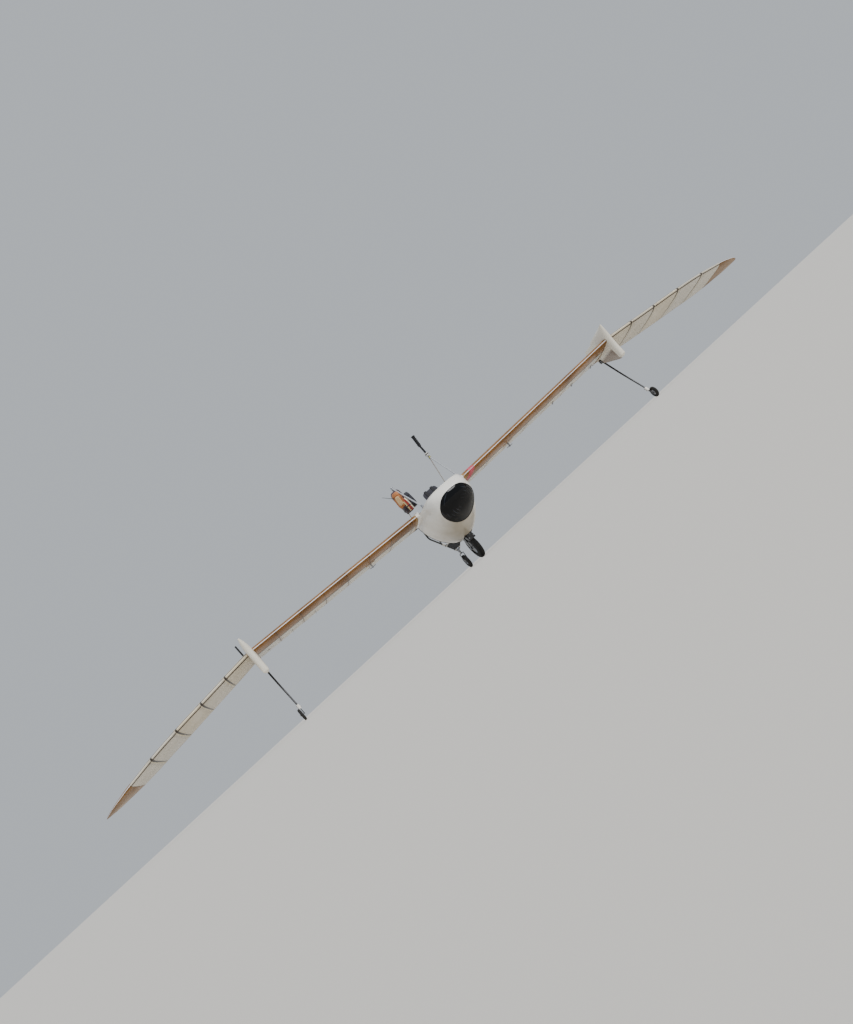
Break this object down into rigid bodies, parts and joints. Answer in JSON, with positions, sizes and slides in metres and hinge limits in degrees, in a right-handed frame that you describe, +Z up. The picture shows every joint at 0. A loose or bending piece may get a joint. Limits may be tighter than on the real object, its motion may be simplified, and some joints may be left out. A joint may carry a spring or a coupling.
{
  "type": "sailplane glider",
  "caption": "Tailless gull-wing sailplane with an open pod, tinted nose window, fins at the wing breaks, outrigger wheels, main wheel and castering tail wheel.",
  "frame": {"origin": "on the ground, below the centre of the whole object's box", "axes": "+Z up, -Y towards the nose, +X to the aircraft's left"},
  "size_m": [15.3, 3.0093, 2.6174],
  "materials": {
    "gelcoat": "polished white gelcoat on glass fibre",
    "tinted_window": "dark tinted blown acrylic",
    "plywood": "varnished birch plywood",
    "wing_fabric": "doped translucent polyester cloth",
    "black_rod": "pultruded black glass fibre rod",
    "black_tube": "black enamelled steel tube",
    "steel": "plated steel",
    "alloy": "drawn aluminium",
    "tyre": "worn black rubber",
    "grey_panel": "dark grey painted sheet",
    "seat_cloth": "dark woven seat cover",
    "canvas": "orange-brown coated canvas"
  },
  "bodies": {
    "airframe": {"nose_box_left": "plywood", "nose_box_right": "plywood", "rear_panel_left": "wing_fabric", "rear_panel_right": "wing_fabric", "outer_wing_left": "wing_fabric", "outer_wing_right": "wing_fabric", "wing_tip_left": "plywood", "wing_tip_right": "plywood", "fin_left": "gelcoat", "fin_right": "gelcoat", "outrigger_rod_left": "black_rod", "outrigger_rod_right": "black_rod", "pod_shell": "gelcoat", "windscreen": "tinted_window", "centre_spar": "plywood", "rear_cross_tube": "black_tube", "seat_frame": "black_tube", "cockpit_floor": "plywood", "seat_pan": "seat_cloth", "seat_back": "seat_cloth", "control_stick": "black_tube", "rudder_pedals": "alloy", "main_wheel_bracket": "black_tube", "tail_head": "steel", "tail_tube_left": "black_tube", "tail_tube_right": "black_tube", "tail_panel": "grey_panel", "side_frame_left": "alloy", "side_frame_right": "alloy", "canister_mast": "black_tube", "side_pack": "canvas", "wing_post": "black_tube", "control_horn_left": "steel", "control_horn_right": "steel"},
    "elevon_left": {"elevon_left": "wing_fabric"},
    "elevon_right": {"elevon_right": "wing_fabric"},
    "rudder_left": {"rudder_left": "gelcoat"},
    "rudder_right": {"rudder_right": "gelcoat"},
    "outrigger_wheel_left": {"outrigger_wheel_left": "tyre"},
    "outrigger_wheel_right": {"outrigger_wheel_right": "tyre"},
    "main_wheel": {"main_tyre": "tyre", "main_hub": "alloy"},
    "tail_fork": {"tail_fork": "black_tube"},
    "tail_wheel": {"tail_tyre": "tyre", "tail_hub": "alloy"}
  },
  "joints": [
    {"name": "main_wheel_spin", "type": "hinge", "parent": "airframe", "child": "main_wheel", "pos_m": [0, 0.115, 0.2687], "axis": [1, 0, 0], "continuous": true},
    {"name": "tail_caster", "type": "hinge", "parent": "airframe", "child": "tail_fork", "pos_m": [0, 1.272, 0.4], "axis": [0, 0, 1], "range_deg": [-90, 90]},
    {"name": "tail_wheel_spin", "type": "hinge", "parent": "tail_fork", "child": "tail_wheel", "pos_m": [0, 1.35, 0.15425], "axis": [1, 0, 0], "continuous": true},
    {"name": "outrigger_spin_left", "type": "hinge", "parent": "airframe", "child": "outrigger_wheel_left", "pos_m": [4.405, -0.915, 0.11146], "axis": [1, 0, 0], "continuous": true},
    {"name": "outrigger_spin_right", "type": "hinge", "parent": "airframe", "child": "outrigger_wheel_right", "pos_m": [-4.405, -0.915, 0.11146], "axis": [1, 0, 0], "continuous": true},
    {"name": "elevon_hinge_left", "type": "hinge", "parent": "airframe", "child": "elevon_left", "pos_m": [2.81, -0.0502, 1.3385], "axis": [0.9861, -0.1647, 0.0204], "range_deg": [-22, 22]},
    {"name": "elevon_hinge_right", "type": "hinge", "parent": "airframe", "child": "elevon_right", "pos_m": [-2.81, -0.0502, 1.3385], "axis": [0.9861, 0.1647, -0.0204], "range_deg": [-22, 22]},
    {"name": "rudder_hinge_left", "type": "hinge", "parent": "airframe", "child": "rudder_left", "pos_m": [4.37, -0.47, 1.57], "axis": [0, 0, 1], "range_deg": [-25, 25]},
    {"name": "rudder_hinge_right", "type": "hinge", "parent": "airframe", "child": "rudder_right", "pos_m": [-4.37, -0.47, 1.57], "axis": [0, 0, 1], "range_deg": [-25, 25]}
  ]
}
